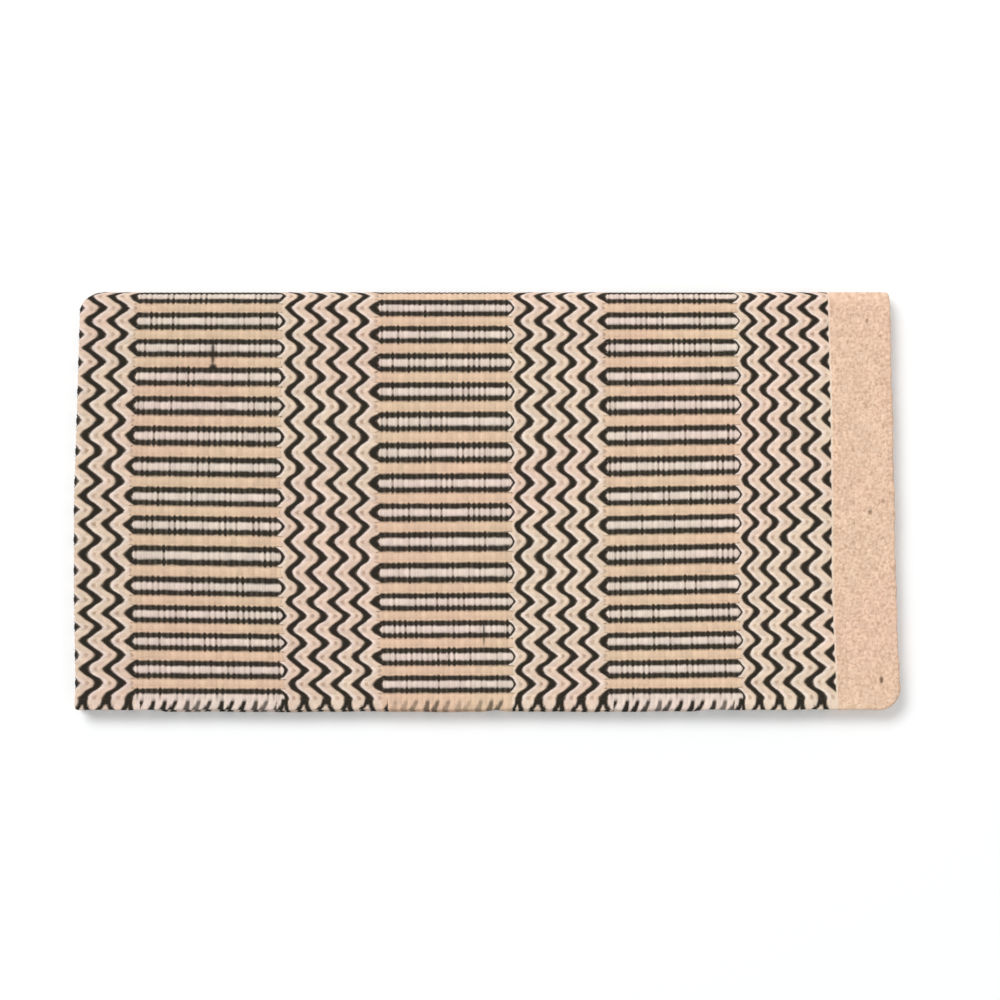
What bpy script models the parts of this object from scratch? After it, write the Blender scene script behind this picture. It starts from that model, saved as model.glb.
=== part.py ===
"""Folded wool saddle blanket, as bands of weft woven over two folded sheets of warps.

Metres. X runs along the blanket's length, from the length fold to the woven ends. Y runs away
from the selvages, to the spine fold. Z is up. The origin is under the middle of the stack.

The blanket is folded twice. The length fold lays its two halves together, and the spine fold
then lays that pair over itself. So four leaves lie in the stack: the bottom and top leaves are
the outer side of the spine fold, and the two inner leaves are its lining.
"""

import math

import bmesh
import bpy
from mathutils import Matrix, Vector

# The folded blanket, and the cloth: how thick it is, and how closely it is folded.
FOLDED_LENGTH = 0.8114
FOLDED_WIDTH = 0.415
CLOTH_THICKNESS = 0.0055
LEAF_GAP = 0.0003
CREASE_GAP = 0.001
FIT_GAP = 0.0003

# The weave: warp ribs across a leaf, and bands along it with the rows of weft in each.
RIBS_ACROSS = 57
BANDS = (
    ("middle_zigzag", 11),
    ("first_bars", 27),
    ("first_zigzag", 18),
    ("second_bars", 25),
    ("second_zigzag", 18),
    ("third_bars", 25),
    ("third_zigzag", 17),
    ("end_border", 11),
)

# The warps: their sheet, and where it ends short of the selvage and of the woven end.
WARP_THICKNESS = 0.0016
SELVAGE_RIBS = 0.5
WARP_END_ROWS = 2

# The corners, in plan: the doubled fold at the blanket's middle, and its four woven corners.
FOLD_CORNER_RADIUS = 0.018
WOVEN_CORNER_RADIUS = 0.020

# The spine fold bends as a row of stiff segments, between an edge strip on each side. The cloth
# can't close up on the fold's axis, where it leaves a round hollow.
SPINE_HOLLOW_RADIUS = 0.0015
SPINE_SEGMENTS = 2
SEGMENT_ANGLE = math.pi / (SPINE_SEGMENTS + 1)

# One overrun serves all cuts.
CUT_OVERRUN = 0.004

# How finely round shapes are divided.
BEND_STEPS = 16
RING_STEPS = 64
CORNER_STEPS = 8

# Levels of the four leaves, and the middles of the lower and the upper pair.
LEAF_LEVELS = {
    "bottom": 0.0,
    "lower_inner": CLOTH_THICKNESS + LEAF_GAP,
    "upper_inner": 2 * CLOTH_THICKNESS + LEAF_GAP + CREASE_GAP,
    "top": 3 * CLOTH_THICKNESS + 2 * LEAF_GAP + CREASE_GAP,
}
STACK_HEIGHT = LEAF_LEVELS["top"] + CLOTH_THICKNESS
PAIR_MIDDLES = {
    "lower": CLOTH_THICKNESS + LEAF_GAP / 2,
    "upper": STACK_HEIGHT - CLOTH_THICKNESS - LEAF_GAP / 2,
}
LEAVES_OF_PAIR = {"lower": ("bottom", "lower_inner"), "upper": ("upper_inner", "top")}

# The folds. The length fold's outside is a half round as thick as its pair of leaves, and the
# spine fold's outside is a half round as thick as the stack.
LENGTH_FOLD_RADIUS = CLOTH_THICKNESS + LEAF_GAP / 2
LEAF_BEND_RADIUS = (CLOTH_THICKNESS + LEAF_GAP) / 2
SPINE_RADIUS = STACK_HEIGHT / 2
SPINE_HEIGHT = STACK_HEIGHT / 2

# Places along X: the fold's outside, where it meets the leaves, the bands, and the end cords.
WOVEN_LENGTH = FOLDED_LENGTH - CLOTH_THICKNESS - FIT_GAP
ROW_PITCH = WOVEN_LENGTH / sum(rows for name, rows in BANDS)
FOLD_X = -FOLDED_LENGTH / 2
LEAF_START_X = FOLD_X + LENGTH_FOLD_RADIUS
END_X = FOLD_X + FOLDED_LENGTH
END_CORD_X = END_X - CLOTH_THICKNESS / 2
CORDS_MEET_X = END_X - WOVEN_CORNER_RADIUS - CLOTH_THICKNESS

# Places along Y: the selvages, and where the flat leaves meet the spine fold.
RIB_PITCH = (FOLDED_WIDTH - CLOTH_THICKNESS - FIT_GAP) / RIBS_ACROSS
SELVAGE_WALL = SELVAGE_RIBS * RIB_PITCH
SELVAGE_Y = -FOLDED_WIDTH / 2
SELVAGE_CORD_Y = SELVAGE_Y + CLOTH_THICKNESS / 2
LEAF_START_Y = SELVAGE_Y + CLOTH_THICKNESS + FIT_GAP
FAR_Y = SELVAGE_Y + FOLDED_WIDTH
SPINE_Y = FAR_Y - SPINE_RADIUS
LEAF_END_Y = SPINE_Y - FIT_GAP / 2

# Colours of the wool, as linear red, green and blue. Two are the mixed tone of their bands.
CREAM_COLOUR = (0.86, 0.73, 0.62)
TAN_COLOUR = (0.78, 0.56, 0.41)
ZIGZAG_COLOUR = (0.52, 0.41, 0.32)
BARS_COLOUR = (0.46, 0.36, 0.27)
WARP_COLOUR = (0.70, 0.60, 0.47)
WOOL_ROUGHNESS = 0.92


def clear_scene():
    for scene_object in list(bpy.data.objects):
        bpy.data.objects.remove(scene_object, do_unlink=True)


def new_collection(name, hidden):
    collection = bpy.data.collections.new(name)
    collection.hide_render = hidden
    bpy.context.scene.collection.children.link(collection)
    return collection


def add_object(name, mesh, collection, origin=(0, 0, 0)):
    """An object with this mesh. The mesh is given in world places, and then set on its origin."""
    mesh.transform(Matrix.Translation(-Vector(origin)))
    made = bpy.data.objects.new(name, mesh)
    made.location = origin
    collection.objects.link(made)
    return made


def wool(part, colour):
    """Gives the part its own wool material."""
    material = bpy.data.materials.new(part.name)
    material.use_nodes = True
    shader = material.node_tree.nodes["Principled BSDF"]
    shader.inputs["Base Color"].default_value = (*colour, 1)
    shader.inputs["Roughness"].default_value = WOOL_ROUGHNESS
    shader.inputs["Metallic"].default_value = 0
    part.data.materials.append(material)
    return part


def box_mesh(name, low, high):
    """A box between two corners."""
    low, high = Vector(low), Vector(high)
    shape = bmesh.new()
    bmesh.ops.create_cube(shape, size=1)
    bmesh.ops.scale(shape, vec=high - low, verts=shape.verts)
    bmesh.ops.translate(shape, vec=(low + high) / 2, verts=shape.verts)
    mesh = bpy.data.meshes.new(name)
    shape.to_mesh(mesh)
    shape.free()
    return mesh


def arc(centre, radius, start, end, steps):
    """Points on a circle round centre, from the angle start to the angle end."""
    turns = [start + (end - start) * step / steps for step in range(steps + 1)]
    return [
        (centre[0] + radius * math.cos(turn), centre[1] + radius * math.sin(turn))
        for turn in turns
    ]


def outline_mesh(name, outline, thickness, matrix):
    """A flat outline, extruded by half the thickness each way, as a welded mesh."""
    curve = bpy.data.curves.new(name, "CURVE")
    curve.dimensions = "2D"
    curve.fill_mode = "BOTH"
    curve.extrude = thickness / 2
    spline = curve.splines.new("POLY")
    spline.points.add(len(outline) - 1)
    for point, (across, along) in zip(spline.points, outline):
        point.co = Vector((across, along, 0)).to_4d()
    spline.use_cyclic_u = True
    holder = bpy.data.objects.new(name, curve)
    bpy.context.scene.collection.objects.link(holder)
    graph = bpy.context.evaluated_depsgraph_get()
    mesh = bpy.data.meshes.new_from_object(holder.evaluated_get(graph))
    bpy.data.objects.remove(holder, do_unlink=True)
    shape = bmesh.new()
    shape.from_mesh(mesh)
    bmesh.ops.remove_doubles(shape, verts=shape.verts, dist=FIT_GAP / 100)
    bmesh.ops.recalc_face_normals(shape, faces=shape.faces)
    shape.to_mesh(mesh)
    shape.free()
    mesh.transform(matrix)
    return mesh


# An outline's own plane, turned to face along Y (outline in X and Z) or X (outline in Y and Z).
FACING_Y = Matrix(((1, 0, 0, 0), (0, 0, -1, 0), (0, 1, 0, 0), (0, 0, 0, 1)))
FACING_X = Matrix(((0, 0, 1, 0), (1, 0, 0, 0), (0, 1, 0, 0), (0, 0, 0, 1)))


def cut(part, cutter, operation="DIFFERENCE"):
    modifier = part.modifiers.new(operation.title(), "BOOLEAN")
    modifier.operation = operation
    modifier.solver = "EXACT"
    modifier.object = cutter
    return part


def smooth(part):
    part.data.shade_smooth()
    part.data.set_sharp_from_angle(angle=math.radians(40))
    return part


def length_fold_path(pair, end_x):
    """The run of a pair's two leaves in X and Z, from one free end round the fold to the other."""
    centre = (LEAF_START_X, PAIR_MIDDLES[pair])
    bend = arc(centre, LEAF_BEND_RADIUS, -math.pi / 2, -3 * math.pi / 2, BEND_STEPS)
    return [(end_x, bend[0][1]), *bend, (end_x, bend[-1][1])]


def folded_sheet(name, pair, thickness, end_x, low_y, high_y, collection):
    """A sheet of the given thickness that runs through both leaves of a pair."""
    path = length_fold_path(pair, end_x)
    points = [(x, y, z) for x, z in path for y in (low_y, high_y)]
    faces = [(2 * step, 2 * step + 1, 2 * step + 3, 2 * step + 2) for step in range(len(path) - 1)]
    mesh = bpy.data.meshes.new(name)
    mesh.from_pydata(points, [], faces)
    sheet = add_object(name, mesh, collection)
    wall = sheet.modifiers.new("Thickness", "SOLIDIFY")
    wall.thickness = thickness
    wall.offset = 0
    wall.use_even_offset = True
    return sheet


def rod(name, path, collection):
    """A cord as thick as the cloth, along the path."""
    curve = bpy.data.curves.new(name, "CURVE")
    curve.dimensions = "3D"
    curve.bevel_depth = CLOTH_THICKNESS / 2
    curve.bevel_resolution = 4
    curve.use_fill_caps = True
    spline = curve.splines.new("POLY")
    spline.points.add(len(path) - 1)
    for point, place in zip(spline.points, path):
        point.co = Vector(place).to_4d()
    made = bpy.data.objects.new(name, curve)
    collection.objects.link(made)
    return made


def band_spans():
    """Each band's name and its two ends in X, with the first starting at the length fold."""
    start_x = FOLD_X
    spans = []
    for name, rows in BANDS:
        end_x = start_x + rows * ROW_PITCH
        spans.append((name, max(start_x, LEAF_START_X) + FIT_GAP / 2, end_x - FIT_GAP / 2))
        start_x = end_x
    return spans


def band_colour(name):
    if name.endswith("zigzag"):
        return ZIGZAG_COLOUR
    return BARS_COLOUR if name.endswith("bars") else TAN_COLOUR


def woven_corner_outline(low_x, high_x):
    """The end border in plan, rounded where its end meets the selvage."""
    radius = WOVEN_CORNER_RADIUS - CLOTH_THICKNESS - FIT_GAP
    centre = (high_x - radius, LEAF_START_Y + radius)
    corner = arc(centre, radius, -math.pi / 2, 0, CORNER_STEPS)
    return [(low_x, LEAF_START_Y), *corner, (high_x, LEAF_END_Y), (low_x, LEAF_END_Y)]


def weft_bands(leaf, slot, collection):
    """The eight bands of one leaf, each woven round the sheet of warps that runs in its slot."""
    low_z = LEAF_LEVELS[leaf]
    high_z = low_z + CLOTH_THICKNESS
    for band, low_x, high_x in band_spans():
        name = f"{leaf}_leaf_{band}"
        if band == "end_border":
            place = Matrix.Translation((0, 0, (low_z + high_z) / 2))
            outline = woven_corner_outline(low_x, high_x)
            mesh = outline_mesh(name, outline, CLOTH_THICKNESS, place)
        else:
            mesh = box_mesh(name, (low_x, LEAF_START_Y, low_z), (high_x, LEAF_END_Y, high_z))
        wool(cut(add_object(name, mesh, collection), slot), band_colour(band))


def length_fold(pair, slot, corner_cutter, collection):
    """The middle band's turn at the left, round the bend of its sheet of warps."""
    centre = (LEAF_START_X - FIT_GAP / 2, PAIR_MIDDLES[pair])
    outside = LENGTH_FOLD_RADIUS - FIT_GAP / 2
    outline = arc(centre, 1, math.pi / 2, 3 * math.pi / 2, 2 * BEND_STEPS)
    outline = [
        (centre[0] + (x - centre[0]) * outside, centre[1] + (z - centre[1]) * LENGTH_FOLD_RADIUS)
        for x, z in outline
    ]
    middle_y = (LEAF_START_Y + LEAF_END_Y) / 2
    matrix = Matrix.Translation((0, middle_y, 0)) @ FACING_Y
    name = f"{pair}_length_fold"
    mesh = outline_mesh(name, outline, LEAF_END_Y - LEAF_START_Y, matrix)
    fold = cut(add_object(name, mesh, collection), slot)
    wool(cut(smooth(fold), corner_cutter), ZIGZAG_COLOUR)


def selvage_cord(pair, collection):
    """The doubled edge warp of a pair: along one leaf, round the length fold and back."""
    path = length_fold_path(pair, CORDS_MEET_X - FIT_GAP / 2)
    places = [(x, SELVAGE_CORD_Y, z) for x, z in path]
    wool(rod(f"{pair}_selvage_cord", places, collection), CREAM_COLOUR)


def end_cord(leaf, collection):
    """The twined cord at a leaf's woven end, turned through the corner to meet the selvage."""
    level = LEAF_LEVELS[leaf] + CLOTH_THICKNESS / 2
    radius = WOVEN_CORNER_RADIUS - CLOTH_THICKNESS / 2
    centre = (END_X - WOVEN_CORNER_RADIUS, SELVAGE_Y + WOVEN_CORNER_RADIUS)
    corner = arc(centre, radius, 0, -math.pi / 2, CORNER_STEPS)
    path = [(END_CORD_X, LEAF_END_Y), *corner, (CORDS_MEET_X + FIT_GAP / 2, SELVAGE_CORD_Y)]
    places = [(x, y, level) for x, y in path]
    wool(rod(f"{leaf}_leaf_end_cord", places, collection), TAN_COLOUR)


def spine_profile():
    """The doubled cloth in X and distance from the fold's axis: one leg, the turn, the other.

    The outer leg is as thick as the cloth, and the inner one is squeezed round the hollow.
    """
    outer_low = SPINE_RADIUS - CLOTH_THICKNESS
    inner_high = outer_low - LEAF_GAP
    outer_round = CLOTH_THICKNESS / 2
    inner_round = (inner_high - SPINE_HOLLOW_RADIUS) / 2
    turn_radius = (SPINE_RADIUS - SPINE_HOLLOW_RADIUS) / 2
    turn_centre = (FOLD_X + turn_radius, SPINE_HOLLOW_RADIUS + turn_radius)
    up, down = math.pi / 2, -math.pi / 2
    turn = arc(turn_centre, turn_radius, 3 * up, up, BEND_STEPS)
    outer_end = arc((END_X - outer_round, outer_low + outer_round), outer_round, up, down, CORNER_STEPS)
    inner_end = arc((END_X - inner_round, inner_high - inner_round), inner_round, up, down, CORNER_STEPS)
    slot = [(LEAF_START_X, outer_low), (LEAF_START_X, inner_high)]
    return [*turn, *outer_end, *slot, *inner_end]


def spine_ring(collection):
    """The spine fold's profile, turned right round its axis. Segments are cut out of it.

    It starts half a step round, so that each cut falls between two of its edges.
    """
    profile = spine_profile()
    mesh = bpy.data.meshes.new("spine_ring")
    edges = [(step, (step + 1) % len(profile)) for step in range(len(profile))]
    mesh.from_pydata([(x, radius, 0) for x, radius in profile], edges, [])
    ring = add_object("spine_ring", mesh, collection)
    ring.location = (0, SPINE_Y, SPINE_HEIGHT)
    ring.rotation_euler = (math.pi / RING_STEPS, 0, 0)
    turning = ring.modifiers.new("Turning", "SCREW")
    turning.axis = "X"
    turning.angle = 2 * math.pi
    turning.steps = RING_STEPS
    turning.render_steps = RING_STEPS
    turning.use_merge_vertices = True
    turning.merge_threshold = FIT_GAP / 100
    turning.use_normal_calculate = True
    return ring


def spine_direction(turn):
    """The direction out of the fold's axis in Y and Z, at a turn counted from straight down."""
    return math.sin(turn), -math.cos(turn)


def sector_outline(start, end):
    """A sector in Y and Z between two turns, drawn back from each by half a fitting gap."""
    half_angle = (end - start) / 2
    tip = FIT_GAP / 2 / math.sin(half_angle)
    out_y, out_z = spine_direction((start + end) / 2)
    reach = 2 * SPINE_RADIUS
    apex = (SPINE_Y + tip * out_y, SPINE_HEIGHT + tip * out_z)
    outline = [apex]
    for turn in (start, end):
        side_y, side_z = spine_direction(turn)
        outline.append((apex[0] + reach * side_y, apex[1] + reach * side_z))
    return outline


def spine_hinge(turn):
    """A corner of the flat-sided outline round the fold: its axis lies just outside the cloth."""
    reach = SPINE_RADIUS / math.cos(SEGMENT_ANGLE / 2)
    out_y, out_z = spine_direction(turn)
    return 0, SPINE_Y + reach * out_y, SPINE_HEIGHT + reach * out_z


def spine_piece(name, start, end, ring, corner_cutter, collection, origin=(0, 0, 0)):
    """A stretch of the spine fold between two turns."""
    matrix = Matrix.Translation(((FOLD_X + END_X) / 2, 0, 0)) @ FACING_X
    length = FOLDED_LENGTH + 2 * CUT_OVERRUN
    mesh = outline_mesh(name, sector_outline(start, end), length, matrix)
    piece = cut(add_object(name, mesh, collection, origin), ring, "INTERSECT")
    wool(cut(smooth(piece), corner_cutter), ZIGZAG_COLOUR)
    return piece


def fold_corner_cutter(collection):
    """What lies outside the rounded corner of the doubled fold, at the blanket's middle."""
    centre = (FOLD_X + FOLD_CORNER_RADIUS, FAR_Y - FOLD_CORNER_RADIUS)
    outside_x = FOLD_X - CUT_OVERRUN
    outside_y = FAR_Y + CUT_OVERRUN
    corner = arc(centre, FOLD_CORNER_RADIUS, math.pi / 2, math.pi, CORNER_STEPS)
    outline = [
        *corner,
        (outside_x, centre[1]),
        (outside_x, outside_y),
        (centre[0], outside_y),
    ]
    matrix = Matrix.Translation((0, 0, SPINE_HEIGHT))
    height = STACK_HEIGHT + 2 * CUT_OVERRUN
    return add_object(
        "fold_corner_cutter", outline_mesh("fold_corner_cutter", outline, height, matrix), collection
    )


def warp_sheets_and_slots(blanket, cutters):
    """The two sheets of warps, and the larger sheets that cut their slots in the weft."""
    low_y = LEAF_START_Y + SELVAGE_WALL
    high_y = LEAF_END_Y - SELVAGE_WALL
    last_x = band_spans()[-1][2] - WARP_END_ROWS * ROW_PITCH
    slots = {}
    for pair in PAIR_MIDDLES:
        sheet = folded_sheet(
            f"{pair}_warps",
            pair,
            WARP_THICKNESS,
            last_x - FIT_GAP,
            low_y + FIT_GAP,
            high_y - FIT_GAP,
            blanket,
        )
        wool(smooth(sheet), WARP_COLOUR)
        slots[pair] = folded_sheet(
            f"{pair}_warp_slot",
            pair,
            WARP_THICKNESS + 2 * FIT_GAP,
            last_x,
            low_y,
            high_y,
            cutters,
        )
    return slots


def hang_upper_leaves(collection, hinge_place):
    """Puts the upper pair's pieces under an empty on the hinge that they turn about."""
    hinge = bpy.data.objects.new("upper_leaves_hinge", None)
    hinge.location = hinge_place
    collection.objects.link(hinge)
    for part in collection.objects:
        if part.name.startswith(("upper", "top")) and part is not hinge:
            part.parent = hinge
            part.matrix_parent_inverse = Matrix.Translation(-Vector(hinge_place))


def build():
    clear_scene()
    blanket = new_collection("saddle_blanket", hidden=False)
    cutters = new_collection("cutters", hidden=True)

    slots = warp_sheets_and_slots(blanket, cutters)
    corner_cutter = fold_corner_cutter(cutters)
    ring = spine_ring(cutters)
    for pair, leaves in LEAVES_OF_PAIR.items():
        for leaf in leaves:
            weft_bands(leaf, slots[pair], blanket)
            end_cord(leaf, blanket)
        length_fold(pair, slots[pair], corner_cutter, blanket)
        selvage_cord(pair, blanket)

    first = SEGMENT_ANGLE / 2
    last = math.pi - first
    spine_piece("lower_spine_edge", 0, first, ring, corner_cutter, blanket)
    for number in range(SPINE_SEGMENTS):
        start = first + number * SEGMENT_ANGLE
        end = start + SEGMENT_ANGLE
        name = f"spine_segment_{number + 1}"
        spine_piece(name, start, end, ring, corner_cutter, blanket, spine_hinge(start))
    spine_piece("upper_spine_edge", last, math.pi, ring, corner_cutter, blanket)
    hang_upper_leaves(blanket, spine_hinge(last))

    for helper in cutters.objects:
        helper.hide_render = True
        helper.display_type = "WIRE"


build()
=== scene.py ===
"""Folded wool saddle blanket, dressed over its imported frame.

The blanket is woven in one piece, with the weft beaten down until it hides the warps. It is
folded twice, so that four leaves lie in the stack, with the outer side of the cloth on top.
"""

import math

import bpy
import numpy as np
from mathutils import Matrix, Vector


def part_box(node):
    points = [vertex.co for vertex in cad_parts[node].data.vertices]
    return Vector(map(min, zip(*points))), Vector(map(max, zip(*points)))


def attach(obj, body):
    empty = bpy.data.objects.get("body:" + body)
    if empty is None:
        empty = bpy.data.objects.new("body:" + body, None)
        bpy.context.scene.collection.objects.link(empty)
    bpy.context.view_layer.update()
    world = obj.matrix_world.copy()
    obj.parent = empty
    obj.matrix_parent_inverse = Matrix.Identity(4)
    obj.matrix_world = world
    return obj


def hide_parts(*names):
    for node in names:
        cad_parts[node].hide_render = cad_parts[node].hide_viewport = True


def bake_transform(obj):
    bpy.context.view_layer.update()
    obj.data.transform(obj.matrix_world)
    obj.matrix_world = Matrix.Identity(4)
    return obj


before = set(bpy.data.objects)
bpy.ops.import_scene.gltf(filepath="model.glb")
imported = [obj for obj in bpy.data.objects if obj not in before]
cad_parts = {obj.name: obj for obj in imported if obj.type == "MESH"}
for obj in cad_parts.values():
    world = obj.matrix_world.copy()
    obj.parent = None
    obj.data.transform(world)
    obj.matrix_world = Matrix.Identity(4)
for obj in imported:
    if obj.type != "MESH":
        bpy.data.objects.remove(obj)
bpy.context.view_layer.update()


# Warps
# Hard-spun wool cords that lie side by side through the whole length of the blanket. They are
# strung on the loom first, and the weft then covers them, so each one shows only as a rib.

CLOTH = 0.0055
FOLD_X, END_X = -0.4057, 0.4057
LEAF_START_X = -0.40005
NEAR_Y, LEAF_START_Y, SPINE_Y, FAR_Y = -0.2075, -0.2017, 0.1957, 0.2075
PAIRS = {"lower": (0.00565, "lower_leaves"), "upper": (0.01795, "upper_leaves")}
LEAF_BEND_RADIUS = 0.0029
WARP_DIAMETER = 0.0013
WARP_PITCH = 0.0071789
# How far the cloth strays along the blanket, in millimetres: one row of numbers for each place
# along it, and in each row five places across it, from the selvage to the spine fold.
STRAY_X = (-0.37, -0.16, 0.07, 0.30, 0.40)
STRAY_Y = (-0.18, -0.09, 0.0, 0.09, 0.18)
STRAYS = (
    (1.5, -1.8, -3.6, -2.4, -1.5),
    (5.8, 1.8, -0.6, -1.4, -1.8),
    (-0.2, -0.5, -0.4, 0.0, -0.1),
    (1.0, -2.0, -0.2, 0.7, -0.4),
    (2.5, 0.6, 0.8, 0.6, 0.0),
)
# How far the ribs bow towards the spine fold at the same places along, in millimetres.
BOWS = (0.8, -2.3, -1.2, 3.0, 3.0)


def loosened(places):
    """Places on a taut and even blanket, moved to where the slack cloth lies.

    The strays are straight runs between the places they are given for, the bow is a sine of the
    way across, and whatever lies beyond the start of either fold bulges out by a third.
    """
    x, y, z = np.moveaxis(places, -1, 0)
    tracks = np.stack([np.interp(y, STRAY_Y, track) for track in STRAYS])
    station = np.interp(x, STRAY_X, np.arange(len(STRAY_X)))
    low = np.minimum(station.astype(int), len(STRAY_X) - 2)
    near, far = np.take_along_axis(tracks, np.stack([low, low + 1]), 0)
    stray = 0.001 * (near + (station - low) * (far - near))
    across = np.clip((y - LEAF_START_Y) / (SPINE_Y - LEAF_START_Y), 0, 1)
    bow = 0.001 * np.interp(x, STRAY_X, BOWS) * np.sin(math.pi * across**0.65)
    bulge_x, bulge_y = 0.3 * np.minimum(x - LEAF_START_X, 0), 0.34 * np.maximum(y - SPINE_Y, 0)
    return np.stack([x + stray + bulge_x, y + bow + bulge_y, z], -1)


def show(name, places, quads, ends, uv, fields=None, sharp=None):
    """Puts a closed shell into the scene: quads, a many-sided face for each end, and one UV map.

    The shell is turned inside out if its volume, summed over its triangles, is below zero.
    """
    loops = np.concatenate([quads.ravel(), *ends])
    sizes = np.concatenate([np.full(len(quads), 4), [len(end) for end in ends]])
    starts = np.concatenate([[0], np.cumsum(sizes)[:-1]])
    mesh = bpy.data.meshes.new(name)
    mesh.vertices.add(len(places))
    mesh.vertices.foreach_set("co", places.ravel().astype(np.float32))
    mesh.loops.add(len(loops))
    mesh.loops.foreach_set("vertex_index", loops.astype(np.int32))
    mesh.polygons.add(len(sizes))
    mesh.polygons.foreach_set("loop_start", starts.astype(np.int32))
    mesh.update(calc_edges=True)
    for attribute, values in (fields or {}).items():
        layer = mesh.attributes.new(attribute, "FLOAT_VECTOR", "POINT")
        layer.data.foreach_set("vector", values.ravel().astype(np.float32))
    mesh.uv_layers.new(name="OFBake").data.foreach_set("uv", uv.ravel().astype(np.float32))
    first, second, third = (places[quads[:, corner]] for corner in ((0, 0), (1, 2), (2, 3)))
    volume = np.einsum("ijk,ijk->", first, np.cross(second, third))
    for end in ends:
        middle = places[end].mean(0)
        volume += np.einsum("k,ik->", middle, np.cross(places[end], places[np.roll(end, -1)]))
    if volume < 0:
        mesh.flip_normals()
    mesh.shade_smooth()
    if sharp is not None:
        pairs = np.empty(len(mesh.edges) * 2, np.int32)
        mesh.edges.foreach_get("vertices", pairs)
        edges = mesh.attributes.new("sharp_edge", "BOOLEAN", "EDGE")
        edges.data.foreach_set("value", sharp[pairs.reshape(-1, 2)].all(1))
    made = bpy.data.objects.new(name, mesh)
    bpy.context.scene.collection.objects.link(made)
    return made


def strip_uv(along, across, low, high):
    """UV places of a grid's quads, with its long way cut into equal strips laid one over another.

    There are as many strips as the square root of the grid's shape, so that they fill a square.
    """
    long_way = along >= across
    count, other = (along, across) if long_way else (across, along)
    strips = max(1, round(math.sqrt(count / other)))
    each = math.ceil(count / strips)
    first, second = np.meshgrid(np.arange(along), np.arange(across), indexing="ij")
    i, j = (first, second) if long_way else (second, first)
    strip, local = i // each, i % each
    steps = ((0, 0), (1, 0), (1, 1), (0, 1)) if long_way else ((0, 0), (0, 1), (1, 1), (1, 0))
    corners = [
        np.stack([(local + di) / each, low + (high - low) * (strip + 0.94 * (j + dj) / other) / strips], -1)
        for di, dj in steps
    ]
    return np.stack(corners, 2).reshape(-1, 2)


def ring_tube(name, places, fields=None, creases=()):
    """A closed tube from a grid of places, rings by points: quads between rings, and two flat ends.

    The lines of points that are named as creases stay sharp.
    """
    rings, points = places.shape[:2]
    index = np.arange(rings * points).reshape(rings, points)
    beside = np.roll(index, -1, axis=1)
    quads = np.stack([index[:-1], index[1:], beside[1:], beside[:-1]], -1).reshape(-1, 4)
    uv = strip_uv(rings - 1, points, 0.0, 0.93)
    turn = np.linspace(0, 2 * math.pi, points, endpoint=False)
    end_uv = np.stack([0.03 + 0.02 * np.cos(turn), 0.965 + 0.02 * np.sin(turn)], -1)
    ends = [index[0], index[-1, ::-1]]
    uv = np.concatenate([uv, end_uv, end_uv + [0.1, 0]])
    flat_fields = {key: value.reshape(-1, 3) for key, value in (fields or {}).items()}
    sharp = np.zeros(rings * points, bool)
    sharp[index[0]] = sharp[index[-1]] = True
    sharp[index[:, creases]] = True
    return show(name, places.reshape(-1, 3), quads, ends, uv, flat_fields, sharp)


def hairpin(middle, reach, turns):
    """A run in X and Z along one leaf, a half circle round the length fold, and back.

    Gives the places, and at each the direction out of the hairpin.
    """
    turn = np.linspace(0, math.pi, turns)
    out = np.stack([-np.sin(turn), np.cos(turn)], -1)
    bend = np.array([LEAF_START_X, middle]) + LEAF_BEND_RADIUS * out
    there = np.stack([reach, np.full(len(reach), middle + LEAF_BEND_RADIUS)], -1)
    back = np.stack([reach[::-1], np.full(len(reach), middle - LEAF_BEND_RADIUS)], -1)
    up, down = np.tile([0.0, 1.0], (len(reach), 1)), np.tile([0.0, -1.0], (len(reach), 1))
    return np.concatenate([there, bend, back]), np.concatenate([up, out, down])


def warp_cord():
    """Undyed hard-spun wool: a pale brown with the twist's fine slanting stripes."""
    material = bpy.data.materials.new("warp_cord")
    material.use_nodes = True
    nodes, links = material.node_tree.nodes, material.node_tree.links
    shader = nodes["Principled BSDF"]
    shader.inputs["Roughness"].default_value = 0.9
    coordinates = nodes.new("ShaderNodeTexCoord")
    slant = nodes.new("ShaderNodeMapping")
    slant.inputs["Rotation"].default_value = (0, 0, 0.6)
    links.new(coordinates.outputs["Object"], slant.inputs["Vector"])
    twist = nodes.new("ShaderNodeTexWave")
    twist.inputs["Scale"].default_value = 260
    twist.inputs["Distortion"].default_value = 2
    links.new(slant.outputs["Vector"], twist.inputs["Vector"])
    ramp = nodes.new("ShaderNodeValToRGB")
    ramp.color_ramp.elements[0].color = (0.48, 0.38, 0.28, 1)
    ramp.color_ramp.elements[1].color = (0.70, 0.60, 0.47, 1)
    links.new(twist.outputs["Color"], ramp.inputs[0])
    links.new(ramp.outputs["Color"], shader.inputs["Base Color"])
    bump = nodes.new("ShaderNodeBump")
    bump.inputs["Strength"].default_value = 0.5
    bump.inputs["Distance"].default_value = 0.0003
    links.new(twist.outputs["Fac"], bump.inputs["Height"])
    links.new(bump.outputs["Normal"], shader.inputs["Normal"])
    return material


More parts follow.
